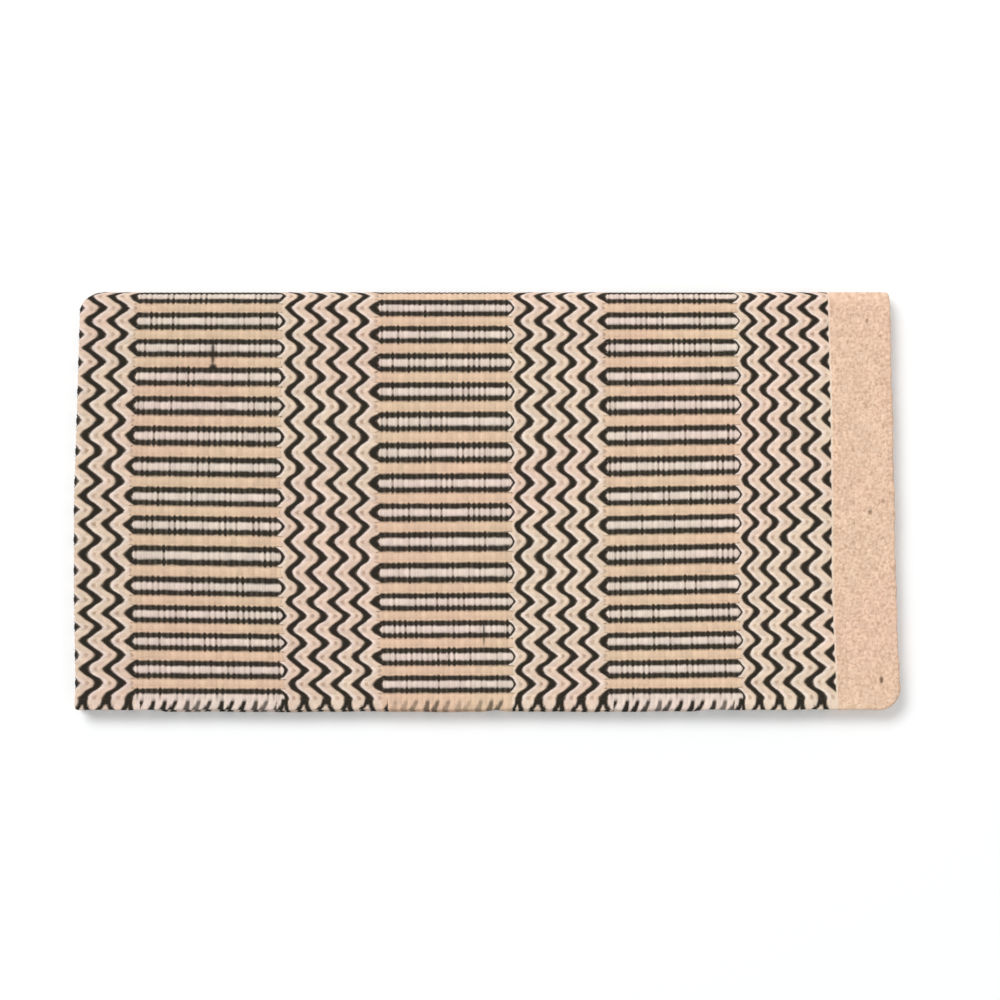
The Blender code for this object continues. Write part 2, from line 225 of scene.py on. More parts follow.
warp_material = warp_cord()
for pair, (middle, body) in PAIRS.items():
    ends_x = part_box(f"{pair}_warps")[1][0]
    run, out = hairpin(middle, np.linspace(ends_x, LEAF_START_X, 9)[:-1], 13)
    low_y, high_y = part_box(f"{pair}_warps")[0][1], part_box(f"{pair}_warps")[1][1]
    across = np.linspace(low_y, high_y, 6 * 55 + 1)
    swell = WARP_DIAMETER / 2 * (0.45 + 0.55 * np.abs(np.sin(math.pi * (across - low_y) / WARP_PITCH)))
    ring_y = np.concatenate([across, across[::-1]])
    ring_out = np.concatenate([swell, -swell[::-1]])
    places = np.stack(
        [
            run[:, :1] + out[:, :1] * ring_out,
            np.broadcast_to(ring_y, (len(run), len(ring_y))),
            run[:, 1:] + out[:, 1:] * ring_out,
        ],
        -1,
    )
    warps = ring_tube(f"{pair}_warp_cords", loosened(places))
    warps.data.materials.append(warp_material)
    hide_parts(f"{pair}_warps")
    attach(warps, body)


# Weft bands
# Wool singles beaten over the warps, in bands of black zigzag, long bars and plain tan. Each
# warp makes a raised rib along the blanket, and each pass of weft makes a row across it.

LEAF_LEVELS = {"bottom": 0.0, "lower_inner": 0.0058, "upper_inner": 0.0123, "top": 0.0181}
BODY_OF_LEAF = {
    "bottom": "lower_leaves",
    "lower_inner": "lower_leaves",
    "upper_inner": "upper_leaves",
    "top": "upper_leaves",
}
FIRST_ROW, BORDER_ROW, LAST_ROW = 1.1, 142.1, 152.1
FOLD_ROW_PITCH = 0.0055
FLAT_RIBS = 54.87

# Where the rows of weft lie along the blanket, and the ribs across it. The weaver beats some
# rows harder than others, and the warps aren't strung quite evenly.
ROW_PLACES = np.array(
    [
        (FIRST_ROW, LEAF_START_X), (1.5, -0.3978), (5.5, -0.3749), (9.5, -0.3530), (10.2, -0.3495),
        (36.75, -0.2039), (38.5, -0.1969), (42.5, -0.1765), (46.5, -0.1551), (50.5, -0.1333),
        (54.5, -0.1124), (55.2, -0.1074), (79.75, 0.0249), (81.5, 0.0308), (85.5, 0.0517),
        (89.5, 0.0736), (93.5, 0.0945), (97.5, 0.1154), (98.2, 0.1193), (122.75, 0.2506),
        (124.5, 0.2566), (128.5, 0.2755), (132.5, 0.2953), (136.5, 0.3162), (140.5, 0.3375),
        (BORDER_ROW, 0.3450), (153.2, END_X),
    ]
)
RIB_PLACES = np.array(
    [
        (0, LEAF_START_Y), (0.5, -0.1951), (8.5, -0.1402), (16.5, -0.0859), (20.5, -0.0549),
        (24.5, -0.0248), (28.5, 0.0035), (32.5, 0.0333), (36.5, 0.0643), (40.5, 0.0949),
        (48.5, 0.1532), (52.5, 0.1801), (54.0, 0.1903), (FLAT_RIBS, SPINE_Y),
    ]
)
# Each band's first and last row of weft.
BAND_ROWS = {
    "middle_zigzag": (FIRST_ROW, 10.2),
    "first_bars": (10.2, 36.75),
    "first_zigzag": (36.75, 55.2),
    "second_bars": (55.2, 79.75),
    "second_zigzag": (79.75, 98.2),
    "third_bars": (98.2, 122.75),
    "third_zigzag": (122.75, BORDER_ROW),
    "end_border": (BORDER_ROW, LAST_ROW),
}
# Each zigzag band: the rows it is drawn over, the row of a dark line's left tip, and the column
# of ribs, out of four, that its left tips lie on.
ZIGZAGS = ((-99, 23.5, 1.5, 0), (23.5, 67.5, 38.5, 2), (67.5, 110.5, 81.5, 0), (110.5, 999, 124.5, 2))
# Each panel of bars: its first and last row, the column of its cream bars, the left tip of the
# last full dark line before it, that of the dark line which caps its bars at the right, and the
# share of that line which the bars run into.
PANELS = (
    (10.2, 36.75, 0, 5.5, 34.5, 0.40),
    (55.2, 79.75, 2, 50.5, 77.5, 0.55),
    (98.2, 122.75, 0, 93.5, 120.5, 0.60),
)
TIP_TO_TIP = 2.65
RELIEF = 0.0011
PROUD = 0.0003
# Pin holes in the border, and strays of dark yarn: place, half sizes and strength.
MARKS = (
    (0.3818, 0.1803, 0.0018, 0.0026, 0.6), (0.3950, 0.1650, 0.0017, 0.0017, 0.5),
    (0.3948, -0.0010, 0.0017, 0.0022, 0.5), (0.3818, -0.0120, 0.0020, 0.0026, 0.7),
    (0.3898, -0.1781, 0.0020, 0.0038, 0.9), (-0.2735, 0.1478, 0.0020, 0.0150, 0.9),
    (-0.2731, 0.1335, 0.0040, 0.0034, 1.0), (-0.0020, -0.1320, 0.0011, 0.0130, 0.8),
)


def row_at(x):
    """Row of weft at a place along the blanket: straight runs between the measured rows."""
    return np.interp(x, ROW_PLACES[:, 1], ROW_PLACES[:, 0])


def place_of_row(row):
    """The same runs turned round: the place along the blanket of a row."""
    return np.interp(row, ROW_PLACES[:, 0], ROW_PLACES[:, 1])


def place_of_rib(rib):
    """The place across the blanket of a rib: straight runs between the measured ribs."""
    return np.interp(rib, RIB_PLACES[:, 0], RIB_PLACES[:, 1])


def unevenness(row, rib):
    """Part of a row by which each yarn strays: a sum of three sines of unlike lengths."""
    quick = 0.06 * np.sin(1.9 * row + 2.7 * rib)
    slow = 0.05 * np.sin(0.83 * row - 3.9 * rib + 1)
    return quick + slow + 0.05 * np.sin(5.1 * rib + 0.31 * row)


def dark_line(row, rib, first_row, tip_column):
    """Count of zigzag quarters: a whole four for each line, with its first quarter the dark one.

    From a left tip to a right tip two ribs away, each edge of the dark line is a straight run
    mixed with a cosine. It is nearly pointed on the outside of a tip and round inside it, and
    the line is thickest there.
    """
    away = np.abs((rib - 0.5 - tip_column + 2) % 4 - 2)
    straight, wave = away / 2, (1 - np.cos(math.pi * away / 2)) / 2
    half = 0.735 + 0.045 * np.cos(math.pi * away)
    left = TIP_TO_TIP * (straight + (wave - straight) * (0.4 + 0.3 * away)) - half
    right = TIP_TO_TIP * (straight + (wave - straight) * (1.0 - 0.3 * away)) + half
    along = row + unevenness(row, rib) - first_row - left
    wide = right - left
    turn = along % 4
    quarter = np.where(turn < wide, turn / wide, 1 + 3 * (turn - wide) / (4 - wide))
    return 4 * np.floor(along / 4) + quarter


def weave_fields(row, rib):
    """The weave at each place: line count, rib counted from a cream bar, and reach into a panel.

    Reach is above 0 inside a panel of bars on its cream columns. It is counted in quarters of
    the zigzag on its left or its right, whichever is nearer.
    """
    line = np.full(row.shape, 2.5)
    rib = np.maximum(rib, 0.5)
    cream = rib - 0.5
    reach = np.full(row.shape, -9.0)
    for low, high, first_row, tip_column in ZIGZAGS:
        here = (row >= low) & (row <= high)
        line = np.where(here, dark_line(row, rib, first_row, tip_column), line)
    for start, end, column, last_line, cap_line, share in PANELS:
        middle = (start + end) / 2
        before = (row > start - 9.5) & (row <= middle)
        after = (row > middle) & (row < end + 9.5)
        flat_side = (row - last_line - 5.05) / 0.85
        reach = np.where(before, np.minimum(dark_line(row, rib, last_line, column) - 5, flat_side), reach)
        reach = np.where(after, share - dark_line(row, rib, cap_line, (column + 2) % 4), reach)
        cream = np.where(before | after, rib - 0.5 - column, cream)
    return line, cream, reach


def selvage_turns(row, rib):
    """Strength, from 0 to 1, of the dark weft where it turns round the selvage.

    There are two turns to every four rows. Past the last rib's middle a zigzag's dark line parts
    into two legs, and beside the bars each turn stands alone and thickens towards the edge. Each
    one leans by a sine of its own, and goes straight down round the side. A smooth step of the
    distance from its middle makes it dark.
    """
    down = np.clip(0.5 - rib, 0, None)
    slant = np.minimum(down, 1.3)
    apart = np.full(row.shape, 9.0)
    for low, high, first_row, tip_column in ZIGZAGS:
        here = (row >= low) & (row <= high)
        tip = first_row + (0.0 if tip_column == 0 else TIP_TO_TIP)
        count = np.round((row - tip) / 4)
        for lean in (0.50 + 0.25 * np.sin(2.1 * count), -1.0 + 0.25 * np.sin(3.7 * count)):
            leg = np.abs(row - tip - 4 * count - lean * slant) - 0.28 * np.clip(1 - down / 0.4, 0, 1)
            apart = np.where(here & (row < 140.5), np.minimum(apart, leg), apart)
    strength = np.ones(row.shape)
    for start, end, column, _, _, _ in PANELS:
        here = (row > start + 1.2) & (row < end - 1.2)
        turn = np.round((row + 0.6 * slant) / 2)
        lean = 0.6 + 0.3 * np.sin(2.3 * turn)
        apart = np.where(here, np.abs(row + lean * slant - 2 * turn) + 0.22 * (1 - slant), apart)
        faint = (1.05 if column == 0 else 0.55) + 0.25 * np.sin(7.3 * turn)
        strength = np.where(here, np.minimum(faint, 1) * np.clip(down / 0.2 - 0.5, 0, 1), strength)
    step = np.clip((0.66 - apart) / 0.30, 0, 1) * np.clip(down / 0.1, 0, 1)
    return np.where(row > BORDER_ROW, 0, strength * step**2 * (3 - 2 * step))


def weave_relief(row, rib):
    """Height of the cloth's face, from 0 in the grooves to 1: rounded ribs and rounded rows.

    A rib is an arch across, and a row or a zigzag stroke is an arch along, from groove to groove.
    Bars start at other quarters of the zigzag on each column. The border is laid like bricks.
    The last rib runs on over the selvage.
    """
    line, cream, reach = weave_fields(row, rib)
    across = np.sqrt(np.clip(1 - (2 * (np.maximum(rib, 0.5) % 1) - 1) ** 2, 0, 1))
    away = np.abs((cream + 2) % 4 - 2)
    tip = np.abs((rib - 0.5 + 1) % 2 - 1)
    spot = np.exp(-(((line % 4 - 2.45) / 0.35) ** 2) - (tip / 0.3) ** 2)
    stroke = np.abs(np.sin(math.pi * line)) ** 0.6
    zigzag = 0.30 * stroke + 0.65 * across * (0.85 + 0.15 * np.cos(math.pi * tip)) - 0.40 * spot
    rows = np.abs(np.sin(math.pi * row)) ** 0.7
    bars = 0.65 * across + np.where(away > 1.45, 0.10, 0.30) * rows
    brick = np.abs(np.sin(math.pi * (row + 0.5 * (np.floor(rib) % 2)))) ** 0.7
    plain = 0.35 + 0.25 * across + 0.28 * brick + 0.10 * np.sin(2.3 * rib + 3.1 * row)
    starts = np.where(away < 0.6, 0, np.where(away < 1.3, -0.5, -2.25))
    cloth = np.where(row > BORDER_ROW, plain, np.where(reach > starts, bars, zigzag))
    return cloth - 0.35 * selvage_turns(row, rib)


def lift_of(row, rib):
    """How far the cloth's face stands over its CAD solid's: the relief, a little proud of it."""
    return RELIEF * (weave_relief(row, rib) - 1) + PROUD


def drawn_in(x, y):
    """How far the far corner's rounding draws the length fold in: a circle's sagitta at y.

    It fades evenly along the blanket, from the fold to 60 mm away.
    """
    radius = 0.018
    past = np.clip(y - (FAR_Y - radius), 0, radius * 0.99)
    return (radius - np.sqrt(radius**2 - past**2)) * np.clip((-0.34 - x) / 0.06, 0, 1)


def fields_of(row, rib, places):
    """The vertex attributes that the wool is coloured by: the weave's counts and the marks.

    A mark is a bell of the two distances from its middle, each over the mark's half size.
    """
    mark = np.zeros(row.shape)
    for x, y, half_x, half_y, strength in MARKS:
        apart = ((places[..., 0] - x) / half_x) ** 2 + ((places[..., 1] - y) / half_y) ** 2
        mark = np.maximum(mark, strength * np.exp(-(apart**2.5)))
    mark = np.maximum(mark * (places[..., 2] > 0.018), selvage_turns(row, rib))
    line, cream, reach = weave_fields(row, rib)
    return {"weave": np.stack([row, rib, mark], -1), "thread": np.stack([line, cream, reach], -1)}


def rim(grid):
    """A grid's outer places in one ring."""
    return np.concatenate([grid[:, 0], grid[-1, 1:], grid[-2::-1, -1], grid[0, -2:0:-1]])


def woven_shell(name, face, back, row, rib):
    """A closed shell: a finely divided face, plain walls round it and long strips at the back.

    The face is a grid of places, the back has one place for each place on the face's rim, and
    each strip joins two places of the rim that are opposite each other.
    """
    face, back = loosened(face), loosened(back)
    wide, tall = face.shape[0] - 1, face.shape[1] - 1
    index = np.arange(face.shape[0] * face.shape[1]).reshape(face.shape[:2])
    ring = rim(index)
    around = len(ring)
    behind = index.size + np.arange(around)
    beside = np.roll(np.arange(around), -1)
    quads = np.stack([index[:-1, :-1], index[1:, :-1], index[1:, 1:], index[:-1, 1:]], -1).reshape(-1, 4)
    walls = np.stack([ring[beside], ring, behind, behind[beside]], -1)
    step = np.arange(1, wide - 1)
    across = 2 * wide + tall - step
    strips = np.stack([behind[step], behind[across], behind[across - 1], behind[step + 1]], -1)
    first = behind[np.concatenate([[0], np.arange(around - 1, 2 * wide + tall - 2, -1), [1]])]
    last = behind[np.arange(wide + tall + 1, wide - 2, -1)]
    run = np.arange(around) / around
    wall_u = np.stack([run + 1 / around, run, run, run + 1 / around], -1)
    wall_v = np.broadcast_to([0.935, 0.935, 0.955, 0.955], wall_u.shape)
    along_u, across_v = np.linspace(0, 1, wide + 1), np.linspace(0.965, 0.995, tall + 1)
    flat_u, flat_v = np.meshgrid(along_u, across_v, indexing="ij")
    back_uv = rim(np.stack([flat_u, flat_v], -1))
    back_uv = back_uv[np.concatenate([strips.ravel(), first, last]) - index.size]
    wall_uv = np.stack([wall_u, wall_v], -1).reshape(-1, 2)
    uv = np.concatenate([strip_uv(wide, tall, 0.0, 0.93), wall_uv, back_uv])
    places = np.concatenate([face.reshape(-1, 3), back])
    rows, ribs = np.concatenate([row.ravel(), rim(row)]), np.concatenate([rib.ravel(), rim(rib)])
    sharp = np.zeros(len(places), bool)
    sharp[ring] = sharp[behind] = True
    quads = np.concatenate([quads, walls, strips])
    return show(name, places, quads, [first, last], uv, fields_of(rows, ribs, places), sharp)


def wool_cloth(name, tan_only=False):
    """Weft-faced wool, coloured by the counts of the weave: black lines and bars on cream and tan.

    The line count picks a zigzag's colour, the ribs counted from a cream bar pick a bar's, and
    the reach says which of the two shows. Fibres, dye and the grooves between yarns go over all.
    Painted shade darkens the grooves of the tan cloth and the grooves between the bars' rows, a
    painted highlight lightens the black bars' crests, and painted light makes the cloth lighter
    towards the right.
    """
    material = bpy.data.materials.new(name)
    material.use_nodes = True
    nodes, links = material.node_tree.nodes, material.node_tree.links
    shader = nodes["Principled BSDF"]
    shader.inputs["Roughness"].default_value = 0.93
    shader.inputs["Specular IOR Level"].default_value = 0.2
    shader.inputs["Sheen Weight"].default_value = 0.08
    shader.inputs["Sheen Roughness"].default_value = 0.5

    def calc(operation, a, b=None):
        node = nodes.new("ShaderNodeMath")
        node.operation = operation
        for socket, value in zip(node.inputs, (a, b)):
            if isinstance(value, (int, float)):
                socket.default_value = value
            elif value is not None:
                links.new(value, socket)
        return node.outputs[0]

    def times(first, *others):
        for other in others:
            first = calc("MULTIPLY", first, other)
        return first

    def plus(first, *others):
        for other in others:
            first = calc("ADD", first, other)
        return first

    def arch(value):
        """An arch over each whole step of a value: the size of a sine, to the power of 0.6."""
        return calc("POWER", calc("ABSOLUTE", calc("SINE", times(value, math.pi))), 0.6)

    def off_middle(value, shift, period):
        """Distance from the middle of each period, once the value is shifted."""
        turn = calc("FLOORED_MODULO", plus(value, shift), period)
        return calc("ABSOLUTE", calc("SUBTRACT", turn, period / 2))

    def between(value, low, high):
        """0 below low and 1 above high, with a soft step between."""
        node = nodes.new("ShaderNodeMapRange")
        node.interpolation_type = "SMOOTHSTEP"
        links.new(value, node.inputs["Value"])
        node.inputs["From Min"].default_value = low
        node.inputs["From Max"].default_value = high
        return node.outputs[0]

    def mix(share, a, b, blend="MIX"):
        node = nodes.new("ShaderNodeMix")
        node.data_type, node.blend_type = "RGBA", blend
        for socket, value in zip((node.inputs[0], node.inputs[6], node.inputs[7]), (share, a, b)):
            if isinstance(value, tuple):
                socket.default_value = (*value, 1)
            elif isinstance(value, float):
                socket.default_value = value
            else:
                links.new(value, socket)
        return node.outputs[2]

    def read(attribute):
        node = nodes.new("ShaderNodeAttribute")
        node.attribute_name = attribute
        split = nodes.new("ShaderNodeSeparateXYZ")
        links.new(node.outputs["Vector"], split.inputs[0])
        return split.outputs

    def chance(a, b, seed):
        """An even chance from 0 to 1 for each pair of whole numbers."""
        place = nodes.new("ShaderNodeCombineXYZ")
        links.new(a, place.inputs[0])
        links.new(b, place.inputs[1])
        place.inputs[2].default_value = seed
        noise = nodes.new("ShaderNodeTexWhiteNoise")
        links.new(place.outputs[0], noise.inputs["Vector"])
        return noise.outputs["Value"]

    def wool_noise(scale, detail, stretch):
        place = nodes.new("ShaderNodeMapping")
        place.inputs["Scale"].default_value = (1, stretch, 1)
        links.new(coordinates.outputs["Object"], place.inputs["Vector"])
        noise = nodes.new("ShaderNodeTexNoise")
        noise.inputs["Scale"].default_value = scale
        noise.inputs["Detail"].default_value = detail
        links.new(place.outputs["Vector"], noise.inputs["Vector"])
        return noise.outputs[0]

    coordinates = nodes.new("ShaderNodeTexCoord")
    place_for_painted_light = nodes.new("ShaderNodeSeparateXYZ")
    links.new(coordinates.outputs["Object"], place_for_painted_light.inputs[0])
    row, rib, mark = read("weave")
    line, cream, reach = read("thread")
    fibre = wool_noise(1500, 3, 0.35)
    patch = wool_noise(330 if tan_only else 190, 2, 1)
    dye = wool_noise(9, 1, 1)
    fuzz = calc("SUBTRACT", fibre, 0.5)
    BLACK = (0.0225, 0.0180, 0.0120)
    groove = arch(line)

    brick = plus(row, times(calc("FLOORED_MODULO", calc("FLOOR", rib), 2.0), 0.5))
    plain = mix(between(patch, 0.35, 0.68), (0.87, 0.630, 0.475), (0.69, 0.465, 0.330))
    speck = chance(calc("FLOOR", times(brick, 2.0)), calc("FLOOR", times(rib, 2.0)), 5.0)
    fleck = times(between(speck, 0.60, 1.0), between(wool_noise(330, 2, 1), 0.42, 0.62))
    plain = mix(times(fleck, 0.42), plain, (0.47, 0.30, 0.19))

    if tan_only:
        # Painted shade: the tan is darkened by up to a fifth in the grooves of the line count, between
        # strands and rows.
        colour = mix(times(between(groove, 0.35, 0.0), 0.20), plain, (0.42, 0.26, 0.17))
        height = plus(times(arch(brick), 0.4), times(groove, 0.3))
    else:
        quarter = calc("FLOORED_MODULO", plus(line, times(fuzz, 0.35)), 4.0)
        ramp = nodes.new("ShaderNodeValToRGB")
        links.new(times(quarter, 0.25), ramp.inputs[0])
        stops = ramp.color_ramp.elements
        half_dark = (0.150, 0.112, 0.083)
        stops[0].position, stops[0].color = 0.0, (*half_dark, 1)
        stops[1].position, stops[1].color = 1.0, (*half_dark, 1)
        tones = (
            (0.05, BLACK), (0.20, BLACK), (0.25, (0.160, 0.122, 0.098)),
            (0.305, (0.77, 0.645, 0.58)), (0.40, (0.845, 0.71, 0.64)),
            (0.50, (0.76, 0.59, 0.475)), (0.66, (0.735, 0.565, 0.445)),
            (0.80, (0.79, 0.615, 0.495)), (0.94, (0.69, 0.52, 0.40)),
        )
        for position, tone in tones:
            stops.new(position).color = (*tone, 1)
        zigzag = ramp.outputs["Color"]
        tip = off_middle(rib, 0.5, 2.0)
        off_spot = calc("ABSOLUTE", calc("DIVIDE", calc("SUBTRACT", quarter, 2.45), 0.50))
        spot = plus(calc("POWER", off_spot, 2.0), calc("POWER", calc("DIVIDE", tip, 0.34), 2.0))
        spot_luck = chance(calc("FLOOR", times(line, 0.25)), calc("FLOOR", rib), 8.0)
        spot_share = times(between(spot, 1.3, 0.1), plus(0.35, times(spot_luck, 0.35)))
        zigzag = mix(spot_share, zigzag, (0.36, 0.22, 0.15))
        before_border = between(row, BORDER_ROW - 0.5, BORDER_ROW - 0.2)
        edge = calc("MAXIMUM", between(rib, 0.42, 0.22), before_border)
        zigzag = mix(edge, zigzag, (0.80, 0.635, 0.52))

        away = plus(off_middle(cream, 2.0, 4.0), times(fuzz, 0.16))
        away = plus(away, times(calc("SUBTRACT", wool_noise(150, 1, 1), 0.5), 0.22))
        bar = calc("FLOOR", calc("DIVIDE", plus(cream, 2.0), 4.0))
        nearest = calc("FLOOR", plus(row, 0.5))
        apart = calc("ABSOLUTE", calc("SUBTRACT", row, nearest))
        strength = chance(nearest, bar, 1.0)
        strong = times(strength, strength)
        half_row = calc("FLOOR", row)
        half_apart = calc("ABSOLUTE", calc("SUBTRACT", calc("SUBTRACT", row, half_row), 0.5))
        # Painted shade: the ticks darken the cream at the grooves between rows, more on some rows than
        # others.
        tick = times(between(apart, 0.40, 0.02), plus(0.10, times(strong, 0.60)))
        half_luck = chance(half_row, bar, 6.0)
        half_tick = times(between(half_apart, 0.22, 0.0), times(half_luck, 0.22))
        tick_share = times(calc("MAXIMUM", tick, half_tick), between(rib, 0.1, 0.6))
        bright = mix(tick_share, (0.81, 0.675, 0.60), (0.235, 0.165, 0.125))
        # Painted shade: the tan bars are darkened at the grooves between rows, by a strength that differs
        # from row to row.
        painted_row_shade = plus(0.04, times(chance(nearest, bar, 2.0), 0.20))
        dull = mix(times(between(apart, 0.36, 0.0), painted_row_shade), (0.75, 0.54, 0.39), (0.45, 0.28, 0.18))
        tooth = times(calc("COSINE", times(row, 2 * math.pi)), times(strong, 0.14))
        inner_side = between(plus(away, tooth), 0.28, 0.68)
        outer_side = between(calc("SUBTRACT", away, times(tooth, 0.8)), 1.50, 1.12)
        # Painted highlight: the black yarn is lighter on each row's crest and darkest at the grooves, by a
        # strength that differs from row to row.
        crest_luck = chance(half_row, bar, 7.0)
        painted_crest_highlight = times(between(apart, 0.06, 0.46), plus(0.25, times(crest_luck, 0.75)))
        highlit_black_yarn = mix(painted_crest_highlight, (0.024, 0.0195, 0.0130), (0.075, 0.062, 0.047))
        pale = mix(between(away, 0.9, 1.1), bright, dull)
        bars = mix(times(inner_side, outer_side), pale, highlit_black_yarn)
        black_start = times(between(away, 0.56, 0.68), -0.5)
        tan_start = times(between(away, 1.20, 1.34), -1.75)
        inside = between(calc("SUBTRACT", reach, plus(black_start, tan_start)), -0.12, 0.12)
        colour = mix(inside, zigzag, bars)
        colour = mix(calc("GREATER_THAN", row, BORDER_ROW), colour, plain)
        row_height = times(arch(row), times(inside, 0.45))
        line_height = times(groove, calc("SUBTRACT", 0.25, times(inside, 0.25)))
        height = plus(row_height, line_height)

    yarn = chance(calc("FLOOR", row), calc("FLOOR", rib), 3.0)
    value = plus(times(yarn, 0.14), times(fibre, 0.36), plus(times(patch, 0.16), 0.67))
    # Painted light: the wool is painted lighter towards the right, along the blanket's length.
    value = plus(value, times(place_for_painted_light.outputs[0], 0.03 if tan_only else 0.15))
    shade = nodes.new("ShaderNodeHueSaturation")
    links.new(value, shade.inputs["Value"])
    links.new(colour, shade.inputs["Color"])
    drift = times(between(dye, 0.38, 0.62), 0.5 if tan_only else 1.0)
    warmth = mix(drift, (1.0, 0.970, 0.965), (0.980, 1.0, 0.965))
    wool = mix(1.0, shade.outputs[0], warmth, "MULTIPLY")
    marked = mix(mark, wool, (0.15, 0.085, 0.045) if tan_only else BLACK)
    links.new(marked, shader.inputs["Base Color"])
    bump = nodes.new("ShaderNodeBump")
    bump.inputs["Strength"].default_value = 0.7
    bump.inputs["Distance"].default_value = 0.0006
    links.new(plus(calc("SUBTRACT", height, mark), times(fibre, 0.7)), bump.inputs["Height"])
    links.new(bump.outputs["Normal"], shader.inputs["Normal"])
    return material


zigzag_material = wool_cloth("zigzag_weave")
BAND_MATERIALS = {
    "zigzag": ("zigzag_weave", zigzag_material),
    "bars": ("bar_weave", wool_cloth("bar_weave")),
    "border": ("border_weave", wool_cloth("border_weave", tan_only=True)),
}
WOVEN_CORNER_RADIUS = 0.020
# How many columns for each row of weft, and lines for each rib, a leaf's shown face has.
FINENESS = {"top": (6, 6), "bottom": (4, 4), "lower_inner": (3, 4), "upper_inner": (3, 4)}


def row_steps(band, per_row):
    """The rows at which a band has a column of places, in even steps that keep to the grooves."""
    first, last = BAND_ROWS[band]
    steps = np.arange(math.ceil(first * per_row + 0.3), last * per_row - 0.3) / per_row
    return np.concatenate([[first], steps, [last]])


def rib_steps(per_rib):
    """The ribs at which a leaf has a line of places, in even steps that keep to the ribs' middles."""
    ribs = np.arange(round(FLAT_RIBS * per_rib) + 1) / per_rib
    return np.append(ribs[ribs < FLAT_RIBS - 0.4 / per_rib], FLAT_RIBS)


def border_edge(x):
    """The near edge of a leaf, with the quarter circle of the woven corner in its end border."""
    radius = WOVEN_CORNER_RADIUS - CLOTH - 0.0003
    past = np.clip(x - (END_X - CLOTH - radius), 0, radius)
    return LEAF_START_Y + radius - np.sqrt(np.clip(radius**2 - past**2, 0, None))


for leaf, level in LEAF_LEVELS.items():
    upward = leaf in ("top", "lower_inner")
    per_row, per_rib = FINENESS[leaf]
    for band in BAND_ROWS:
        row, rib = np.meshgrid(row_steps(band, per_row), rib_steps(per_rib), indexing="ij")
        x, y = place_of_row(row), place_of_rib(rib)
        if band == "middle_zigzag":
            x = x + drawn_in(x, y)
            row = np.where(x > LEAF_START_X, row_at(x), row)
        if band == "end_border":
            edge = border_edge(x)
            y = edge + (y - LEAF_START_Y) * (SPINE_Y - edge) / (SPINE_Y - LEAF_START_Y)
        lift = lift_of(row, rib)
        face = np.stack([x, y, level + CLOTH + lift if upward else level - lift], -1)
        back = rim(face)
        back[:, 2] = level if upward else level + CLOTH
        name = f"{leaf}_leaf_{band}"
        slot, material = BAND_MATERIALS[band.split("_")[-1]]
        piece = woven_shell(f"{name}_cloth", face, back, row, rib)
        piece.data.materials.append(material)
        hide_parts(name)
        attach(piece, BODY_OF_LEAF[leaf])


# Length folds
# The middle zigzag band turned back on itself at the left, where the blanket's two halves meet.
# Nothing holds it but the weight of the leaves, so it is a plain half round.

LENGTH_FOLD_RADIUS = 0.00565
for pair, (middle, body) in PAIRS.items():
    turn, rib = np.meshgrid(np.linspace(0, math.pi, 25), rib_steps(6), indexing="ij")
    y = place_of_rib(rib)
    start = LEAF_START_X + drawn_in(LEAF_START_X, y)
    arc = LENGTH_FOLD_RADIUS * np.minimum(turn, math.pi - turn)
    row = row_at(start) - arc / FOLD_ROW_PITCH
    radius = LENGTH_FOLD_RADIUS + lift_of(row, rib)
    face = np.stack([start - radius * np.sin(turn), y, middle + radius * np.cos(turn)], -1)
    back = rim(face)
    back[:, 0] = rim(start) + 0.0001
    # The back lies deep in the stack, where it can't show through the grooves of the leaves.
    back[:, 2] = middle + (back[:, 2] - middle) * 0.6
    piece = woven_shell(f"{pair}_length_fold_cloth", face, back, row, rib)
    piece.data.materials.append(zigzag_material)
    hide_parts(f"{pair}_length_fold")
    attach(piece, body)


# Spine fold
# Where the doubled cloth turns over at the far side. The outer cloth rolls round the whole
# stack, and the lining is squeezed inside it, and both turn back at the length fold.

SPINE_Z = 0.0118
SPINE_RIBS = 117 - 2 * FLAT_RIBS
TURN_BACK = 0.00665
# Each cloth: how far its shown face and its back lie from the fold's axis, and its fineness.
LAYERS = {"outer": (0.0118, 0.0063, 5), "lining": (0.0015, 0.0060, 3)}
STRETCHES = {
    "lower": (0, "lower_leaves", "spine_segment_1", ("lower_spine_edge",)),
    "middle": (60, "spine_segment_1", "spine_segment_2", ("spine_segment_1", "spine_segment_2")),
    "upper": (120, "spine_segment_2", "upper_leaves", ("upper_spine_edge",)),
}


def on_the_roll(x, turn, radius):
    """A place on the roll: the turn is counted from straight down, round the fold's axis."""
    return np.stack([x, SPINE_Y + radius * np.sin(turn), SPINE_Z - radius * np.cos(turn)], -1)


